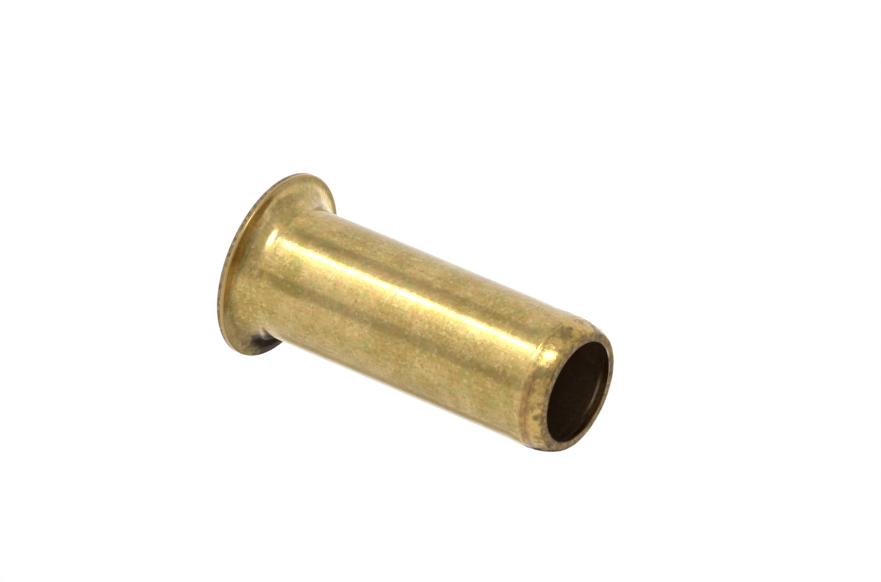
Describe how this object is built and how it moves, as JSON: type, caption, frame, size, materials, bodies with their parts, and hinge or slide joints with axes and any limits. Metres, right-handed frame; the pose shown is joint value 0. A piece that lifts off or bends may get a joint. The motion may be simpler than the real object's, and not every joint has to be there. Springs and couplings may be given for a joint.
{
  "type": "tube insert",
  "caption": "Thin drawn brass sleeve with a flared flange at one end and a curled-in nose at the other, pushed into a plastic tube to stiffen it.",
  "frame": {"origin": "centre of the flange's back face, on the axis, where the insert stands", "axes": "+Z along the axis from the flange to the curled nose; +X and +Y are any two radial directions, because the insert is round"},
  "size_m": [0.0098, 0.0096, 0.0187],
  "materials": {
    "brass": "satin drawn"
  },
  "bodies": {
    "root": {"tube_insert": "brass"}
  },
  "joints": []
}
